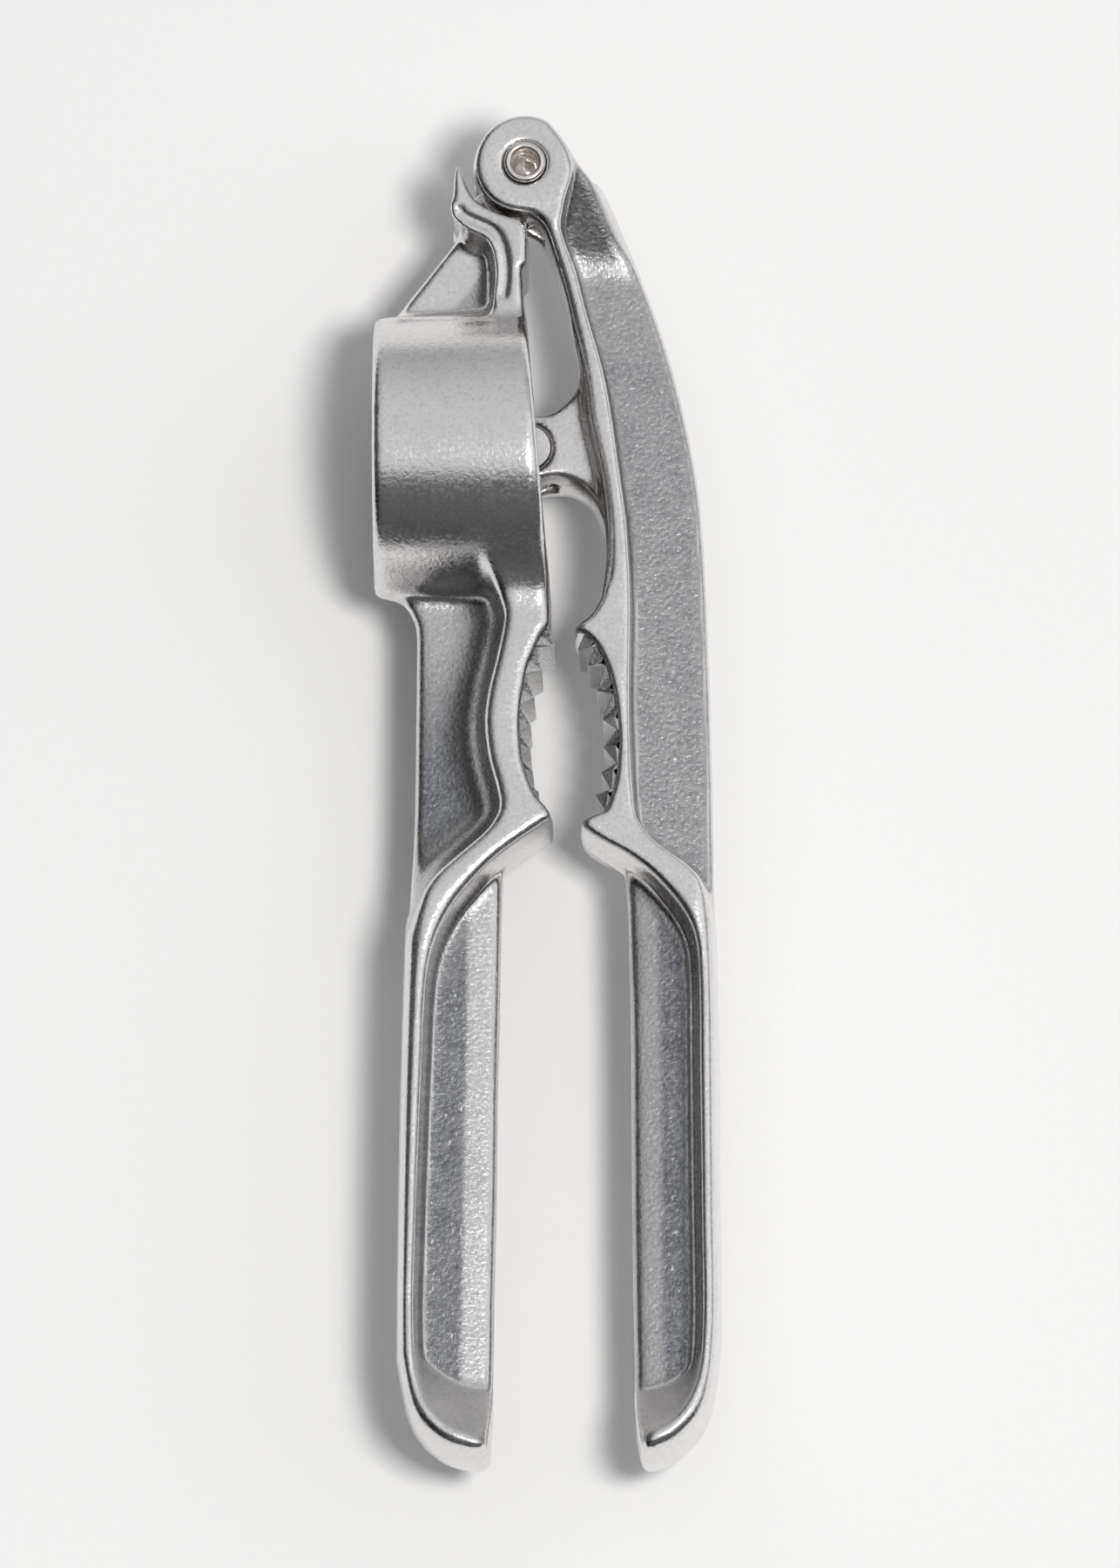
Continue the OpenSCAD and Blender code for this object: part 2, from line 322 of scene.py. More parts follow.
class Nodes:
    """Short calls for building a material's node tree."""

    def __init__(self, name):
        self.material = bpy.data.materials.new(name)
        self.material.use_nodes = True
        self.tree = self.material.node_tree
        self.shader = self.tree.nodes["Principled BSDF"]
        self.place = self.tree.nodes.new("ShaderNodeTexCoord").outputs["Object"]

    def link(self, source, target):
        """Feeds a socket from a node, or sets it to a number."""
        if isinstance(source, (int, float)):
            target.default_value = source
        else:
            self.tree.links.new(source, target)

    def stretch(self, scale):
        """Coordinates for a texture that is drawn out where the scale is below 1."""
        node = self.tree.nodes.new("ShaderNodeMapping")
        node.inputs["Scale"].default_value = scale
        self.link(self.place, node.inputs["Vector"])
        return node.outputs["Vector"]

    def noise(self, size_mm, detail=3.0, rough=0.55, vector=None):
        node = self.tree.nodes.new("ShaderNodeTexNoise")
        self.link(vector or self.place, node.inputs["Vector"])
        node.inputs["Scale"].default_value = 1 / (size_mm * MM)
        node.inputs["Detail"].default_value = detail
        node.inputs["Roughness"].default_value = rough
        return node.outputs["Fac"]

    def spots(self, size_mm):
        """Distance from the nearest of many scattered points."""
        node = self.tree.nodes.new("ShaderNodeTexVoronoi")
        self.link(self.place, node.inputs["Vector"])
        node.inputs["Scale"].default_value = 1 / (size_mm * MM)
        return node.outputs["Distance"]

    def span(self, value, low, high, to_low=0.0, to_high=1.0):
        """Maps a value from low..high to to_low..to_high, clamped."""
        node = self.tree.nodes.new("ShaderNodeMapRange")
        self.link(value, node.inputs["Value"])
        for key, number in (("From Min", low), ("From Max", high), ("To Min", to_low), ("To Max", to_high)):
            self.link(number, node.inputs[key])
        return node.outputs["Result"]

    def math(self, operation, a, b=0.0):
        node = self.tree.nodes.new("ShaderNodeMath")
        node.operation = operation
        self.link(a, node.inputs[0])
        self.link(b, node.inputs[1])
        return node.outputs[0]

    def blend(self, amount, a, b):
        """A value between a and b."""
        node = self.tree.nodes.new("ShaderNodeMix")
        self.link(amount, node.inputs["Factor"])
        self.link(a, node.inputs["A"])
        self.link(b, node.inputs["B"])
        return node.outputs["Result"]

    def tint(self, amount, a, b):
        """A colour between a and b."""
        node = self.tree.nodes.new("ShaderNodeMix")
        node.data_type = "RGBA"
        self.link(amount, node.inputs["Factor"])
        sockets = [s for s in node.inputs if s.type == "RGBA"]
        for value, socket in zip((a, b), sockets):
            if isinstance(value, tuple):
                socket.default_value = (*value, 1)
            else:
                self.link(value, socket)
        return [s for s in node.outputs if s.type == "RGBA"][0]

    def read(self, attribute):
        node = self.tree.nodes.new("ShaderNodeAttribute")
        node.attribute_name = attribute
        return node.outputs["Fac"]

    def bump(self, height, distance_mm, strength=1.0, under=None):
        """Relief of this height, over the relief under it."""
        node = self.tree.nodes.new("ShaderNodeBump")
        self.link(height, node.inputs["Height"])
        node.inputs["Distance"].default_value = distance_mm * MM
        node.inputs["Strength"].default_value = strength
        if under:
            self.link(under, node.inputs["Normal"])
        return node.outputs["Normal"]

    def metal(self, color, rough, normal):
        """Finishes the material as bare metal."""
        self.link(color, self.shader.inputs["Base Color"])
        self.link(rough, self.shader.inputs["Roughness"])
        self.link(normal, self.shader.inputs["Normal"])
        self.shader.inputs["Metallic"].default_value = 1.0
        return self.material


def cast_aluminium(name):
    """Tumbled die casting: satin ground faces, rougher pockets, fine grain, pits and small scratches."""
    n = Nodes(name)
    worked_and_painted_light = n.read("worked_and_painted_light")
    cloud = n.noise(9.0, 4)
    patch = n.noise(3.2, 4, 0.65)
    grain = n.noise(0.55, 3, 0.6)
    brushed = n.noise(0.32, 2, 0.5, n.stretch((0.12, 1.0, 0.5)))
    pits = n.span(n.spots(2.8), 0.03, 0.07, 1.0, 0.0)
    flecks = n.span(n.noise(0.55, 2, 0.5, n.stretch((1.0, 0.45, 1.0))), 0.66, 0.74)
    flecks = n.math("MULTIPLY", flecks, n.math("SUBTRACT", 1.0, worked_and_painted_light))

    ground = n.tint(n.span(cloud, 0.3, 0.7), (0.75, 0.735, 0.725), (0.82, 0.805, 0.795))
    ground = n.tint(n.span(grain, 0.3, 0.5), (0.66, 0.655, 0.655), ground)
    blasted = n.tint(n.span(patch, 0.35, 0.65), (0.115, 0.121, 0.135), (0.20, 0.205, 0.217))
    blasted = n.tint(n.span(grain, 0.35, 0.65), blasted, n.tint(0.30, blasted, (0.50, 0.50, 0.51)))
    blasted = n.tint(n.math("MULTIPLY", flecks, 0.6), blasted, (0.8, 0.8, 0.8))
    # the worked attribute lightens the colour: mostly the ground finish, in places painted light and painted
    # highlights
    color = n.tint(worked_and_painted_light, blasted, ground)
    color = n.tint(n.math("MULTIPLY", pits, 0.4), color, (0.36, 0.36, 0.37))

    rough = n.math("ADD", n.blend(worked_and_painted_light, 0.33, 0.17), n.span(n.noise(0.5, 3), 0.35, 0.65, -0.06, 0.10))
    rough = n.math("ADD", rough, n.span(patch, 0.3, 0.7, -0.03, 0.04))
    rough = n.math("ADD", rough, n.span(worked_and_painted_light, 1.0, 2.0, 0.0, 0.35))

    relief = n.math("MULTIPLY", grain, n.blend(worked_and_painted_light, 0.8, 0.3))
    bump = n.bump(relief, 0.16, 0.8)
    bump = n.bump(brushed, 0.01, 0.45, bump)
    return n.metal(color, rough, n.bump(pits, -0.03, 0.5, bump))


def nickel(name):
    """Bright, slightly warm nickel plate with fine polishing marks."""
    n = Nodes(name)
    cloud = n.noise(1.6, 2)
    color = n.tint(cloud, (0.78, 0.745, 0.715), (0.83, 0.80, 0.77))
    rough = n.span(n.noise(0.4, 2), 0.3, 0.7, 0.15, 0.21)
    return n.metal(color, rough, n.bump(n.noise(0.5, 2), 0.001, 0.3))


def drawn_rod(name):
    """Aluminium rod, sawn flush and ground with the faces round it."""
    n = Nodes(name)
    grain = n.noise(0.3, 4)
    color = n.tint(grain, (0.80, 0.785, 0.77), (0.84, 0.83, 0.81))
    return n.metal(color, n.span(grain, 0.3, 0.7, 0.26, 0.36), n.bump(grain, 0.02, 0.5))


# ---- castings ----

def full_band(block, silhouette, crown, shoulder):
    """The whole casting at full width: crown is how much its outline shrinks from the middle plane to the
    faces, and shoulder the rounding of its edges there."""
    shrunk = silhouette + crown * (block.depth / HALF_BAND) ** 2.2
    return smooth_max(shrunk, block.depth - HALF_BAND, shoulder)


def pocket(block, border, floor, fillet, draft=0.06):
    """The space over a web: inside the border outline, and further from the middle plane than floor."""
    walls = border + draft * (HALF_BAND - block.depth)
    return smooth_max(walls, floor - block.depth, fillet)


def rounded_over(height, inside, radius):
    """A web's half thickness, dropping in a quarter round over the last of the distance to its free edge."""
    near = np.clip(inside, 0, radius)
    return height - radius + np.sqrt(np.maximum(radius**2 - (radius - near) ** 2, 0))


def grip_floor(edge_distance, end_distance, fall):
    """Half thickness of a grip's web: flat, falling in a bevel to its free edge, and scooped at its end."""
    bevel_width, thickness = 4.3, 1.5
    bevel = thickness - fall * np.clip((bevel_width - edge_distance) / bevel_width, 0, 1)
    bevel = rounded_over(bevel, edge_distance, 0.8)
    return smooth_max(bevel, 1.2 + 0.9 * (SCOOP_LENGTH - end_distance), 0.5)


def grip(block, side, border, free_edge, corner, fall, fillet, draft):
    """A grip's pocket, with the distances from the grip's free edge and from the pocket's end. The free edge
    faces side, 1 for +X, and the end curves away from x = corner."""
    hole = block.outline(out_to(60 * side, border))
    edge = np.abs(block.outline(out_to(60 * side, free_edge)))
    curved = side * (corner - block.x) > 0
    end_wall = block.y - GRIP_END_Y - 0.055 * (block.x - corner) ** 2 * curved
    return pocket(block, hole, grip_floor(edge, end_wall, fall), fillet, draft), edge, end_wall


def along_grip(block):
    """0 beside the jaw, 1 along the grip."""
    return ramp(-block.y, 90, 102)


def handle_band(block, silhouette):
    """A handle at full width, rounder along its grip than elsewhere."""
    in_grip = along_grip(block)
    return full_band(block, silhouette, 0.3 + 0.45 * in_grip, 0.8 + 1.7 * in_grip)


def rubbed(block, grip_space, end_wall, web_space):
    """How a handle is worked: bright on its faces and outside its pockets, matt in the scoop of its grip."""
    flat_face = ramp(block.depth, HALF_BAND - 1.6, HALF_BAND - 0.6)
    outside = ramp(np.minimum(grip_space, web_space), 0.0, 1.2)
    scoop = 2 * ramp(SCOOP_LENGTH - end_wall, 0, 0.6) * ramp(-grip_space, -0.8, -0.3)
    return np.maximum(np.maximum(flat_face, outside), scoop)


def bevel_painted_highlight(block, edge, width, amount):
    """A painted highlight on a grip's bevel: a lighter worked colour over this width from its free edge,
    stronger on the bevel that tilts toward the key.
    """
    return amount * ramp(width - edge, 0, 0.5) * ramp(-block.y, 93, 95)


def cup_handle_bar(block):
    """Jaw and grip of the cup handle, with how they are worked, the light painted on them, and how far
    tumbling reached.
    """
    mouth_side = curve([(3.2, -52), (3.6, -58), (3.8, -61.4), (2.2, -64.2)])
    jaw_root = curve([(0.5, -68.2), (-0.3, -73), (-0.4, -77.2), (0.1, -81.2), (1.5, -85)])
    horn = curve([(2.9, -86.6), (3.7, -88.1), (2.6, -89.4), (-1.0, -92), (-2.9, -94)])
    grip_in = curve([(-3.2, -109), (-4.0, -157), (-4.5, -171)])
    end = curve([(-4.6, -172.8), (-6.6, -173.5), (-11.2, -172.2), (-15.2, -168), (-17.0, -160)])
    grip_out = curve([(-17.0, -152), (-16.6, -126), (-15.9, -102.4), (-15.3, -98.6), (-14.8, -82),
                      (-14.6, -63)])
    flare = curve([(-14.7, -61), (-15.6, -59), (-16.9, -57.5), (-18.8, -56.6)]) + [(-19.0, -52)]
    silhouette = block.outline(mouth_side + jaw_root + horn + grip_in + end + grip_out + flare)
    body = handle_band(block, silhouette)

    free_edge = curve([(-3.0, -93), (-3.2, -109), (-4.0, -157), (-4.6, -175)])
    grip_border = curve([(2.6, -88.9), (-1.2, -91.5), (-4.6, -94.1), (-7.6, -97.3), (-9.9, -100.4),
                         (-11.8, -104.4), (-13.0, -110), (-13.6, -122), (-14.3, -141), (-14.6, -156),
                         (-13.6, -164.4), (-10, -169.4), (-4.6, -171.6)])
    grip_space, edge, end_wall = grip(block, 1, grip_border, free_edge, -4.6, 0.32, 0.9, 0.11)

    jaw_border = curve([(-3.1, -50), (-3.1, -58), (-2.8, -61.2), (-3.6, -65.8), (-4.8, -70.9),
                        (-5.3, -75.3), (-4.8, -80), (-3.6, -84.7), (-3.5, -87.2), (-5.1, -89.8),
                        (-8.2, -92.6), (-11.6, -95.7), (-13.8, -98.9), (-15.3, -102.6)])
    jaw_hole = block.outline(jaw_border + [(-30, -104), (-30, -50)])
    jaw_space = pocket(block, jaw_hole, rounded_over(1.3, -silhouette, 1.0), 6.5)
    body = smooth_max(body, -grip_space, 0.6 + 0.8 * along_grip(block))
    body = smooth_max(body, -jaw_space, 1.5)

    # painted light: the jaw pocket next to the cup is drawn lighter where the key lights it, fading toward
    # the grip
    jaw_pocket_painted_light = 0.55 * ramp(block.y, -84, -60)
    # painted highlight on this grip's bevel, which tilts toward the key
    worked_and_painted_light = np.maximum(bevel_painted_highlight(block, edge, 4.6, 0.75), jaw_pocket_painted_light)
    worked_and_painted_light = np.maximum(worked_and_painted_light, rubbed(block, grip_space, end_wall, jaw_space))
    tumbled = 1 - 0.5 * ramp(-jaw_space, -0.6, -0.1) * ramp(-block.y, 56, 60)
    return body, worked_and_painted_light, tumbled


def cup_neck(block):
    """Neck from the cup to the crescent seat, with a triangular pocket, and a bead and a groove beside it."""
    x, y, depth = block.x, block.y, block.depth
    seat = curve([(-8.6, 0.8), (-8.2, -1.1), (-7.65, -3.0), (-6.6, -4.8), (-5.2, -5.8), (-3.6, -6.6),
                  (-2.0, -7.1), (-0.8, -7.6), (0.1, -8.5), (0.3, -10.2)])
    right = curve([(0.3, -14), (0.3, -22)])
    left = curve([(-16.9, -22), (-16.8, -18.8), (-12.6, -13.2), (-8.9, -8.2), (-9.5, -6.6), (-9.6, -5.2),
                  (-9.5, -3.2), (-9.3, -0.6)])
    neck = full_band(block, block.outline(seat + right + left), 0.1, 0.3)

    border = curve([(-9.9, -7.0), (-9.0, -7.6), (-7.3, -9.0), (-5.2, -10.1), (-4.2, -11.9), (-3.8, -14.9),
                    (-4.1, -18.6), (-4.6, -21)])
    facet = np.clip((x + 5) * 0.762 - (y + 12.5) * 0.648, 0, 3)
    free_edge = (x + 8.6) * 0.80 - (y + 7.6) * 0.60
    web = rounded_over(1.6 + 0.3 * facet, free_edge, 1.0)
    neck = smooth_max(neck, -pocket(block, block.outline(out_to(-30, border)), web, 2.4), 0.4)

    groove_line = [(-8.8, -6.2), (-8.2, -7.1), (-6.6, -7.9), (-4.2, -9.1), (-3.0, -11.4), (-2.6, -14.8),
                   (-2.9, -18)]
    groove = np.hypot(block.path(curve(groove_line)), depth - HALF_BAND) - 0.7
    neck = smooth_max(neck, -groove, 0.3)
    bead_line = [(-9.5, -5.4), (-9.2, -7.1), (-7.2, -8.7), (-4.9, -9.8), (-3.8, -11.7), (-3.4, -14.9),
                 (-3.8, -18.6)]
    bead = np.hypot(block.path(curve(bead_line)), depth - HALF_BAND + 0.75) - 0.55
    return smooth_min(neck, bead, 0.2)


def cup_shell(block, neck, bar):
    """The cup, grown together with the neck and the bar, cut at its mouth and hollowed."""
    x, y = block.x, block.y
    cup = smooth_max(block.cone(CUP_RADIUS, CUP_GROWTH), CUP_FLOOR_X - x, 1.2)
    bar_fillet = 2.0 + 3.0 * ramp(block.depth, 3, 7) * ramp(x, -7, -4)
    shell = smooth_min(smooth_min(cup, neck, 1.4), bar, bar_fillet)
    mouth = (x - 0.1) * MOUTH_COSINE + (y + 18.3) * MOUTH_SINE
    shell = smooth_max(shell, np.where(np.abs(y - CUP_AXIS_Y) < 24, mouth, -9), 1.5)
    hollow = smooth_max(block.cone(CUP_RADIUS - CUP_WALL, CUP_GROWTH), CUP_FLOOR_X + CUP_WALL - x, 0.8)
    return smooth_max(shell, -hollow, 0.5)


def hinge_lug(block):
    """The cup handle's lug between the lever's two ears."""
    root = block.outline([(-5.4, -2), (-8.4, -5.4), (-1, -9.8), (0.4, -8.8), (-0.2, -5)])
    lug = smooth_min(block.disc(EYE_RADIUS - 0.35), root, 0.8)
    return smooth_max(lug, block.depth - LUG_THICKNESS / 2, 0.3)


def floor_holes(block):
    """The holes in the cup's floor: hexagonal rings round one in the middle."""
    y, z = block.y[0], block.z[0]
    nearest = np.full(np.broadcast(y, z).shape, 1e9)
    for i in range(-HOLE_RINGS, HOLE_RINGS + 1):
        for j in range(max(-HOLE_RINGS, -HOLE_RINGS - i), min(HOLE_RINGS, HOLE_RINGS - i) + 1):
            hole_y, hole_z = CUP_AXIS_Y + HOLE_PITCH * (i + j / 2), HOLE_PITCH * j * math.sqrt(3) / 2
            nearest = np.minimum(nearest, np.hypot(y - hole_y, z - hole_z) - HOLE_RADIUS)
    return np.maximum(nearest[None], block.x - CUP_FLOOR_X - CUP_WALL - 1)


def cup_handle():
    """One casting: hinge lug, seat, neck, perforated cup, jaw and grip."""
    block = Block((-21.5, -175.2, -20.8), (5.6, 8, 20.8), STEP)
    bar, worked_and_painted_light, tumbled = cup_handle_bar(block)
    shell = cup_shell(block, cup_neck(block), bar)
    seat_space = smooth_max(block.disc(SEAT_RADIUS), LUG_THICKNESS / 2 - block.depth, 0.1)
    shell = smooth_max(shell, -seat_space, 0.4)
    shell = smooth_min(shell, hinge_lug(block), 0.3)
    shell = np.maximum(shell, -block.disc(SHANK_RADIUS + CLEARANCE))
    shell = smooth_max(shell, -floor_holes(block), 0.25)
    return solid("cup_handle", block, shell, worked_and_painted_light, "cup_body", "cup_handle", CAST,
                 tumbled)


def lever_silhouette(block):
    """Distance from the plunger handle's plan outline."""
    outer = curve([(3.2, 5.6), (6.6, 2.2), (10.2, -1.9), (12.9, -7.9), (15.3, -13.8), (17.9, -20.8),
                   (20, -27.9), (21.9, -36.1), (23.2, -44.3), (23.9, -53.7), (24.3, -63.1), (24.7, -76),
                   (25, -92), (25.2, -104)])
    grip_out = curve([(25.5, -118), (25.6, -140), (25.7, -156), (24.4, -166.4), (21, -171.4), (17.2, -173.4),
                      (15.2, -173.4)])
    grip_in = curve([(14.6, -171), (14.1, -157), (13.6, -109), (13.1, -94.4)])
    horn = curve([(10.6, -92.6), (8.4, -90.9), (7.1, -89.2), (8.0, -88.2), (10.4, -87.2)])
    jaw_root = curve([(11.5, -83.8), (12.0, -80), (12.0, -76.1), (11.4, -71.8), (10.6, -68.5), (9.2, -65.4),
                      (7.7, -63.8)])
    jaw_top = curve([(6.3, -63.5), (6.6, -62.4), (8.6, -60.8), (9.9, -58.6)])
    arm_in = curve([(10.5, -54), (10.4, -49), (9.7, -42.7), (8.0, -34.8), (7.4, -29.8), (5.7, -20.4),
                    (5, -17.3), (4.1, -14.2), (3.2, -11.2), (2.4, -9), (1.2, -7.6), (-1, -6.8),
                    (-3.4, -6.1), (-5.4, -4.6), (-6.7, -2.2), (-7.0, 0.2), (-6.4, 2.2)])
    return block.outline(outer + grip_out + grip_in + horn + jaw_root + jaw_top + arm_in + [(-4.6, 4.2)])


def arm_floor(block, silhouette):
    """The space over the arm's wide web and over the ramp that rises from it beside the hinge."""
    x, y, depth = block.x, block.y, block.depth
    web = 1.5 - 0.5 * ramp(x, 10, 25)
    rise = (HALF_BAND - (2.6 - y) * 0.50 - depth) / math.hypot(1, 0.50)
    steep = 1.1 + 1.4 * ramp(y, -10, -4) + 2.4 * ramp(y, -5, 0) + 12 * ramp(y, -0.5, 3)
    side = (1.0 + steep * -silhouette - depth) / np.sqrt(1 + steep**2)
    return smooth_max(smooth_min(rise, side, 0.5), web - depth, 1.2)


def bracket(block):
    """Bracket for the plunger's pin, with crowned faces, sweeping out of the arm."""
    top = curve([(0.4, 4.9), (3, 4.9), (5.4, 6.6), (7.8, 10)])
    bottom = curve([(11.2, -11.5), (8.6, -6.6), (6, -4.6), (3, -4.4), (0.4, -4.9)])
    reach = block.outline([(px, py + CUP_AXIS_Y) for px, py in top + bottom])
    plan = np.minimum(block.disc(PIN_RADIUS + 1.9, PIN), reach)
    crowned = plan + 0.5 * (block.depth / BRACKET_HALF) ** 2
    return smooth_max(crowned, block.depth - BRACKET_HALF, 0.6)


def plunger_handle():
    """One casting: two hinge ears, arm, bracket, jaw and grip."""
    block = Block((-7.4, -175.2, -10), (27, 8, 10), STEP)
    y, depth = block.y, block.depth
    silhouette = lever_silhouette(block)
    body = handle_band(block, silhouette)
    chamfer = 0.6 * silhouette + 0.8 * (depth - HALF_BAND) - 3 + 3.75 * ramp(y, -63, -56)
    body = smooth_max(body, chamfer, 0.4)
    body = smooth_min(body, full_band(block, block.disc(EYE_RADIUS + 0.35), 0.2, 0.8), 0.3)

    free_edge = curve([(13.0, -93), (13.6, -109), (14.1, -157), (14.7, -175)])
    grip_border = curve([(7.2, -89.4), (10.3, -91.4), (13.5, -93.2), (16.4, -95.4), (18.9, -98.1),
                         (21, -101), (22.4, -104.4), (22.9, -110), (23.0, -122), (23.2, -141), (23.3, -156),
                         (22.4, -163.6), (19.4, -168.8), (14.6, -171.6)])
    grip_space, edge, end_wall = grip(block, -1, grip_border, free_edge, 14.6, 0.2, 2.2, 0.09)

    arm_border = curve([(4.2, 5.2), (6.0, 2.3), (6.3, -1.2), (5.2, -5.4), (4.8, -8.4), (5.2, -10.2),
                        (6.1, -12.8), (6.9, -15.3), (8.2, -20.4), (10.7, -29.8), (12.6, -42.7), (13.4, -49),
                        (13.9, -58.7), (13.8, -72), (14.3, -85.6), (15.4, -89.4), (17.8, -92.0),
                        (20.4, -93.9), (22.6, -95.9), (24.1, -98.2), (25.2, -101)])
    arm_hole = block.outline(arm_border + [(40, -101), (40, 20), (4, 20)])
    arm_space = smooth_max(arm_hole + 0.03 * (HALF_BAND - depth), arm_floor(block, silhouette), 0.8)
    body = smooth_max(body, -grip_space, 0.6 + 0.8 * along_grip(block))
    body = smooth_max(body, -arm_space, 0.4 + 1.3 * ramp(silhouette, -3.0, -0.8))
    body = smooth_min(body, bracket(block), 1.6)

    lug_space = smooth_max(block.disc(SLOT_RADIUS), depth - EAR_GAP / 2, 0.1)
    body = smooth_max(body, -lug_space, 0.3)
    knuckle_space = smooth_max(block.disc(KNUCKLE_SPACE_RADIUS, PIN), depth - BRACKET_GAP / 2, 0.1)
    body = smooth_max(body, -knuckle_space, 0.2)
    rim_seat = smooth_max(block.disc(RIM_SEAT_RADIUS), HALF_BAND - RIM_SEAT_DEPTH - block.z, 0.1)
    body = smooth_max(body, -rim_seat, 0.1)
    body = np.maximum(body, -block.disc(SHANK_RADIUS))
    body = np.maximum(body, -block.disc(PIN_RADIUS, PIN))

    # painted light: the arm's open web is drawn lighter where the key lights it, most of all in the key's
    # highlight just below the ramp
    arm_web_painted_light = (0.26 + 0.16 * ramp(y, -30, -14)) * ramp(y, -104, -90)
    # weaker painted highlight on this grip's bevel, which tilts away from the key
    worked_and_painted_light = np.maximum(bevel_painted_highlight(block, edge, 4.3, 0.42), arm_web_painted_light)
    worked_and_painted_light = np.maximum(worked_and_painted_light, rubbed(block, grip_space, end_wall, arm_space))
    on_ramp = ramp(-arm_hole, 0.0, 0.6) * ramp(-silhouette, 0.8, 1.6) * ramp(y, -60, -50)
    tumbled = 1 - 0.65 * on_ramp
    return solid("plunger_handle", block, body, worked_and_painted_light, "lever_body", "plunger_handle",
                 CAST, tumbled)


def plunger():
    """Round foot on a neck, with a rib that ends in the knuckle round the pin."""
    block = Block((-17.4, -55.6, -17), (5.8, -20.4, 17), PLUNGER_STEP)
    x, y, z, depth = block.x, block.y, block.z, block.depth
    radius = np.hypot(y - PIN[1], z)
    face = PIN[0] - 16.6
    foot_radius, half_foot = 15.7, 1.5
    foot = smooth_max(radius - foot_radius, np.abs(x - face - half_foot) - half_foot, 0.5)
    neck = radius - 3.6 - 0.9 * np.clip(face + 9 - x, 0, 6)
    neck = smooth_max(neck, np.maximum(face + 1 - x, x - PIN[0] + 5), 0.5)
    rib = block.outline([(face + 2, PIN[1] + 12), (-7.2, PIN[1] + 4), (PIN[0], PIN[1] + 4.3),
                         (PIN[0], PIN[1] - 4.3), (-7.2, PIN[1] - 4), (face + 2, PIN[1] - 12)])
    rib = smooth_min(rib, block.disc(PIN_RADIUS + 1.4, PIN), 0.5)
    rib = smooth_max(rib, depth - BRACKET_GAP / 2 + 0.1, 0.4)
    body = smooth_min(smooth_min(foot, neck, 1.8), rib, 0.8)
    body = np.maximum(body, -block.disc(PIN_RADIUS + CLEARANCE, PIN))
    worked_and_painted_light = np.float32(0.6)
    return solid("plunger", block, body, worked_and_painted_light, "plunger_body", "plunger", CAST)


def tooth_row(name, roots, tips, back, body, node):
    """A row of sharp teeth across the band, their ends sloped back from the casting's face."""
    profile = teeth(roots, tips, TOOTH_COUNT)
    height = [TIP_DEPTH if i % 2 else ROOT_DEPTH for i in range(len(profile))]
    shape = bmesh.new()
    front = [shape.verts.new((px, py, h)) for (px, py), h in zip(profile, height)]
    rear = [shape.verts.new((px, py, -h)) for (px, py), h in zip(profile, height)]
    front_back = [shape.verts.new((px + back, py, TOOTH_BACK_DEPTH)) for px, py in profile]
    rear_back = [shape.verts.new((px + back, py, -TOOTH_BACK_DEPTH)) for px, py in profile]
    for i in range(len(profile) - 1):
        k = i + 1
        shape.faces.new((front[i], front[k], rear[k], rear[i]))
        shape.faces.new((front_back[k], front_back[i], rear_back[i], rear_back[k]))
        shape.faces.new((front[k], front[i], front_back[i], front_back[k]))
        shape.faces.new((rear[i], rear[k], rear_back[k], rear_back[i]))
    for i in (0, -1):
        shape.faces.new((front[i], rear[i], rear_back[i], front_back[i]))
    bmesh.ops.recalc_face_normals(shape, faces=shape.faces)
    ridges = [e for e in shape.edges if e.calc_face_angle(0) > 0.5]
    bmesh.ops.bevel(shape, geom=ridges, offset=0.13, segments=2, affect="EDGES", profile=0.6)
    bmesh.ops.triangulate(shape, faces=[f for f in shape.faces if len(f.verts) > 4])
    for vertex in shape.verts:
        vertex.co = HINGE + vertex.co * MM
    mesh = bpy.data.meshes.new(name)
    shape.to_mesh(mesh)
    shape.free()
    worked_and_painted_light = mesh.attributes.new("worked_and_painted_light", "FLOAT", "POINT")
    worked_and_painted_light.data.foreach_set("value", np.full(len(mesh.vertices), 0.7, np.float32))
    return piece(name, mesh, body, node, CAST)


def jaw_teeth():
    """Teeth of both jaws of the nutcracker. Their backs end inside the handles."""
    roots = [(3.0, -62.4), (1.0, -66), (-0.3, -70.4), (-0.8, -75), (-0.7, -79), (0.1, -83), (1.6, -86.4)]
    tips = [(4.8, -64.0), (2.7, -67.0), (1.4, -71.2), (0.8, -75.6), (0.8, -79.2), (1.3, -82.8), (2.2, -85.4)]
    tooth_row("cup_jaw_teeth", roots, tips, -3.0, "cup_body", "cup_handle")
    roots = [(8.1, -63.0), (9.5, -65.4), (10.9, -69), (11.9, -74), (12.1, -79.6), (11.5, -84), (10.6, -87.4)]
    tips = [(6.4, -64.8), (7.9, -66.8), (9.3, -70.4), (10.2, -74.8), (10.3, -79.2), (9.8, -83), (8.9, -86)]
    tooth_row("lever_jaw_teeth", roots, tips, 1.7, "lever_body", "plunger_handle")


# ---- rivet and pin ----

LATHE_STEPS = 72
TIP = 0.02  # radius of the small flat at the middle of a turned end
HEAD_RADIUS, HEAD_HEIGHT, HEAD_SPREAD = 4.3, 1.75, -32  # the spread is the dome's last angle, in degrees


def arc(centre_r, centre_h, radius, start, stop, steps):
    """Points of an arc in a turned profile; angles in degrees from the outward direction."""
    angles = [math.radians(start + (stop - start) * i / steps) for i in range(steps + 1)]
    return [(centre_r + radius * math.cos(a), centre_h + radius * math.sin(a)) for a in angles]


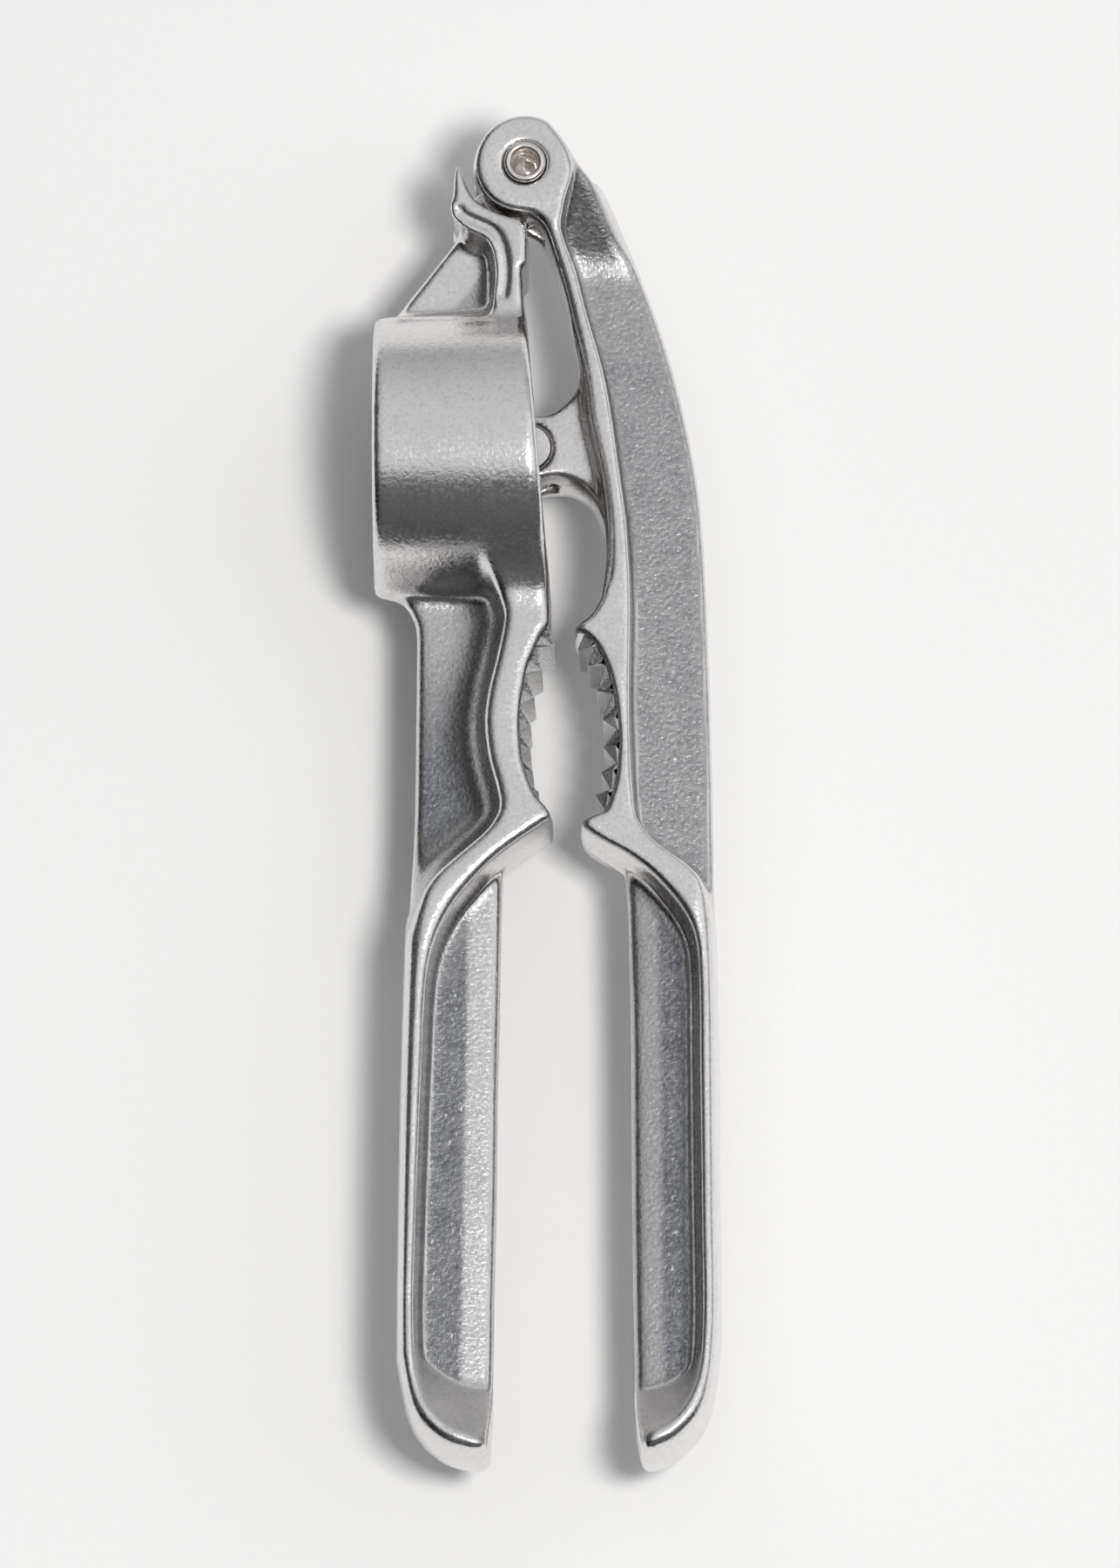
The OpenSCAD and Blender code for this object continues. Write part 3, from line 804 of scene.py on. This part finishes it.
def hinge_rivet():
    """Domed head at the back, shank, and a hollow end rolled out over the front ear."""
    head = arc(0, 0, 1, -90, HEAD_SPREAD, 14)
    wide, tall = HEAD_RADIUS / head[-1][0], HEAD_HEIGHT / (head[-1][1] + 1)
    pole = -HALF_BAND - CLEARANCE - HEAD_HEIGHT  # the dome's outermost point
    dome = [(max(wide * r, TIP), pole + tall * (h + 1)) for r, h in head]
    shank = [(4.25, -HALF_BAND + 0.02), (SHANK_RADIUS, -HALF_BAND + 0.03), (SHANK_RADIUS, HALF_BAND - 0.6)]
    rim = arc(2.25, HALF_BAND + 0.12, 0.50, -60, 170, 20)
    bore = [(1.72, HALF_BAND - 0.2), (1.66, HALF_BAND - 0.9), (1.62, HALF_BAND - 2.2),
            (1.52, HALF_BAND - 2.35), (1.5, HALF_BAND - 4.6), (1.35, HALF_BAND - 5.0),
            (TIP, HALF_BAND - 5.9)]
    return lathe("hinge_rivet", dome + shank + rim + bore, HINGE, "lever_body", "hinge_rivet",
                 NICKEL)


def plunger_pin():
    """Plain pin, its ends a hair below the bracket's faces and slightly broken at the edge."""
    half = BRACKET_HALF - 0.02
    radius, broken = PIN_RADIUS - CLEARANCE, 0.08
    profile = [(TIP, -half), (radius - broken, -half), (radius, -half + broken), (radius, half - broken),
               (radius - broken, half), (TIP, half)]
    return lathe("plunger_pin", profile, JOINTS["plunger_pivot"], "lever_body", "plunger_pin",
                 ROD)


# ---- studio ----

CAMERA_ELEVATION, CAMERA_ROLL = 78.0, 1.0  # degrees
CAMERA_DISTANCE = 4.0
FRAME_HEIGHT = 0.2067  # what the frame's long side spans at the middle plane, in metres
SENSOR_WIDTH = 36
AIM = Vector((4.5, -82.05, 0))  # mm from the hinge
KEY_PLACE, KEY_SIZE = (0.37, -0.25, 1.65), (0.28, 0.28)  # metres, from the aim
KEY_WATTS, KEY_DIFFUSE_WATTS = 4.4, 14.6
KEY_COLOR = (1.0, 0.985, 0.965)
FLOOR_REACH, FLOOR_DROP = 3.0, 0.0005


def camera():
    """The photo's view: from almost straight above, a little from the grips' side, with a slight roll."""
    data = bpy.data.cameras.new("camera")
    ob = bpy.data.objects.new("camera", data)
    bpy.context.scene.collection.objects.link(ob)
    bpy.context.scene.camera = ob
    tilt = math.radians(CAMERA_ELEVATION)
    side = math.radians(CAMERA_ROLL)
    right = Vector((math.cos(side), 0, -math.sin(side)))
    back = Vector((math.sin(side) * math.sin(tilt), -math.cos(tilt), math.cos(side) * math.sin(tilt)))
    back.normalize()
    up = back.cross(right).normalized()
    right = up.cross(back).normalized()
    target = HINGE + AIM * MM
    place = target + back * CAMERA_DISTANCE
    ob.matrix_world = Matrix((
        (right.x, up.x, back.x, place.x), (right.y, up.y, back.y, place.y),
        (right.z, up.z, back.z, place.z), (0, 0, 0, 1)))
    data.sensor_width = SENSOR_WIDTH
    data.sensor_fit = "AUTO"
    data.lens = SENSOR_WIDTH * CAMERA_DISTANCE / FRAME_HEIGHT
    data.clip_start, data.clip_end = 0.05, 20


def area_light(name, place, size, watts, color):
    """A soft box at a place, in metres from the press, that looks at the press."""
    data = bpy.data.lights.new(name, "AREA")
    data.shape = "RECTANGLE"
    data.size, data.size_y = size
    data.energy = watts
    data.color = color
    ob = bpy.data.objects.new(name, data)
    bpy.context.scene.collection.objects.link(ob)
    target = HINGE + AIM * MM
    ob.location = target + Vector(place)
    ob.rotation_mode = "QUATERNION"
    ob.rotation_quaternion = (-Vector(place)).to_track_quat("-Z", "Y")
    return ob


def studio():
    """Pale paper under the press, the room, and the key light. The key is two lights in one place, one of
    them hidden from reflections, so that the paper is bright without white patches on the metal."""
    floor_mesh = bpy.data.meshes.new("floor")
    corners = [(FLOOR_REACH * i, FLOOR_REACH * j, 0) for i, j in ((-1, -1), (1, -1), (1, 1), (-1, 1))]
    floor_mesh.from_pydata(corners, [], [(0, 1, 2, 3)])
    floor = bpy.data.objects.new("floor", floor_mesh)
    bpy.context.scene.collection.objects.link(floor)
    paper = Nodes("paper")
    tone = paper.tint(paper.noise(1.5, 2), (0.86, 0.86, 0.86), (0.88, 0.88, 0.88))
    paper.link(tone, paper.shader.inputs["Base Color"])
    paper.shader.inputs["Roughness"].default_value = 0.9
    floor_mesh.materials.append(paper.material)
    floor.location.z = -FLOOR_DROP

    room()
    bpy.context.scene.view_settings.view_transform = "Standard"  # plain product-photo tones
    area_light("key", KEY_PLACE, KEY_SIZE, KEY_WATTS, KEY_COLOR)
    area_light("key_diffuse", KEY_PLACE, KEY_SIZE, KEY_DIFFUSE_WATTS, KEY_COLOR).visible_glossy = False


def room():
    """Surroundings that metal reflects: pale overhead and behind, dark on the near side and to the left, with
    a soft box on the right and a glow along the horizon."""
    world = bpy.data.worlds.new("room")
    bpy.context.scene.world = world
    world.use_nodes = True
    tree = world.node_tree
    coords = tree.nodes.new("ShaderNodeTexCoord")

    def toward(direction, low, high, to_low, to_high):
        """A strength that goes from to_low to to_high as the direction looked in turns toward this one."""
        dot = tree.nodes.new("ShaderNodeVectorMath")
        dot.operation = "DOT_PRODUCT"
        tree.links.new(coords.outputs["Generated"], dot.inputs[0])
        dot.inputs[1].default_value = direction
        node = tree.nodes.new("ShaderNodeMapRange")
        node.interpolation_type = "SMOOTHSTEP"
        tree.links.new(dot.outputs["Value"], node.inputs["Value"])
        for key, value in (("From Min", low), ("From Max", high), ("To Min", to_low), ("To Max", to_high)):
            node.inputs[key].default_value = value
        return node.outputs["Result"]

    near_side = toward((0, 0.927, 0.375), -0.14, 0.05, 0.20, 1.0)
    overhead = toward((0, 0, 1), 0.1, 0.95, 0.44, 0.70)
    left_side = toward((1, 0, 0), -0.72, -0.20, 0.14, 1.0)
    horizon = toward((0, 0, 1), -0.02, 0.07, 0.85, 0.0)
    soft_box = toward((0.62, 0.10, 0.78), 0.86, 0.94, 0.0, 0.92)
    strength = overhead
    for operation, part in (("MULTIPLY", near_side), ("MULTIPLY", left_side), ("MAXIMUM", horizon),
                            ("MAXIMUM", soft_box)):
        node = tree.nodes.new("ShaderNodeMath")
        node.operation = operation
        tree.links.new(strength, node.inputs[0])
        tree.links.new(part, node.inputs[1])
        strength = node.outputs[0]
    background = tree.nodes["Background"]
    tree.links.new(strength, background.inputs["Strength"])
    background.inputs["Color"].default_value = (0.98, 0.985, 1.0, 1)


# ---- the scene ----

CAST = cast_aluminium("cast_aluminium")
NICKEL = nickel("nickel")
ROD = drawn_rod("drawn_rod")

camera()
studio()
cup_handle()
plunger_handle()
plunger()
jaw_teeth()
hinge_rivet()
plunger_pin()
